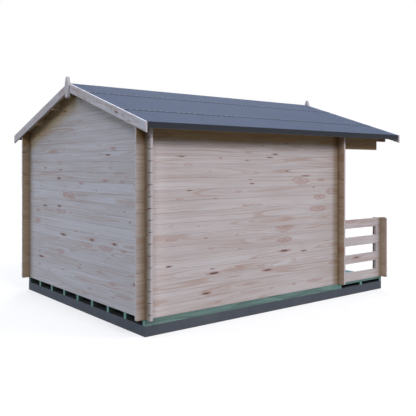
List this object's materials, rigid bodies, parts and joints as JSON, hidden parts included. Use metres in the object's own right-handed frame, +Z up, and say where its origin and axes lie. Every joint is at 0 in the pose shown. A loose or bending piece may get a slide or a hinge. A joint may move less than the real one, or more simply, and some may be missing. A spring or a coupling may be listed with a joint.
{
  "type": "log cabin",
  "caption": "Garden log cabin of interlocking notched logs with a railed open porch, felted gable roof, closed double door, treated bearers and a dark plinth.",
  "frame": {"origin": "centre of the plinth's underside", "axes": "+Z up, -Y out of the porch and the door, +X to the right of someone facing +Y"},
  "size_m": [3.35, 4.101, 2.7093],
  "materials": {
    "plinth_concrete": "cast concrete slab with a dark slate-grey face",
    "treated_timber": "pressure-treated softwood with a green tint",
    "sawn_boards": "planed spruce boards",
    "spruce_logs": "planed unpainted spruce with small knots",
    "planed_spruce": "planed unpainted spruce",
    "roofing_felt": "mineral roofing felt, slate blue-grey",
    "clear_glass": "clear float glass",
    "plated_steel": "zinc-plated steel"
  },
  "bodies": {
    "root": {"base_plinth": "plinth_concrete", "room_bearers": "treated_timber", "porch_bearers": "treated_timber", "room_floor": "sawn_boards", "porch_deck": "treated_timber", "rear_wall_logs": "spruce_logs", "rear_gable": "spruce_logs", "front_wall_full_logs": "spruce_logs", "front_wall_left_logs": "spruce_logs", "front_wall_right_logs": "spruce_logs", "front_gable": "spruce_logs", "left_wall_logs": "spruce_logs", "left_rail_logs": "spruce_logs", "left_eaves_logs": "spruce_logs", "right_wall_logs": "spruce_logs", "right_rail_logs": "spruce_logs", "right_eaves_logs": "spruce_logs", "left_rail_spacers": "spruce_logs", "left_rail_post": "spruce_logs", "right_rail_spacers": "spruce_logs", "right_rail_post": "spruce_logs", "ridge_purlin": "spruce_logs", "left_purlins": "spruce_logs", "right_purlins": "spruce_logs", "left_roof_boards": "sawn_boards", "right_roof_boards": "sawn_boards", "left_fascia": "planed_spruce", "right_fascia": "planed_spruce", "left_eaves_felt": "roofing_felt", "right_eaves_felt": "roofing_felt", "left_middle_felt": "roofing_felt", "right_middle_felt": "roofing_felt", "ridge_felt": "roofing_felt", "rear_left_bargeboard": "planed_spruce", "rear_right_bargeboard": "planed_spruce", "front_left_bargeboard": "planed_spruce", "front_right_bargeboard": "planed_spruce", "rear_finial": "planed_spruce", "front_finial": "planed_spruce", "door_frame": "planed_spruce", "left_door": "planed_spruce", "right_door": "planed_spruce", "door_glass": "clear_glass", "door_hinges": "plated_steel", "door_handle": "plated_steel"}
  },
  "joints": []
}
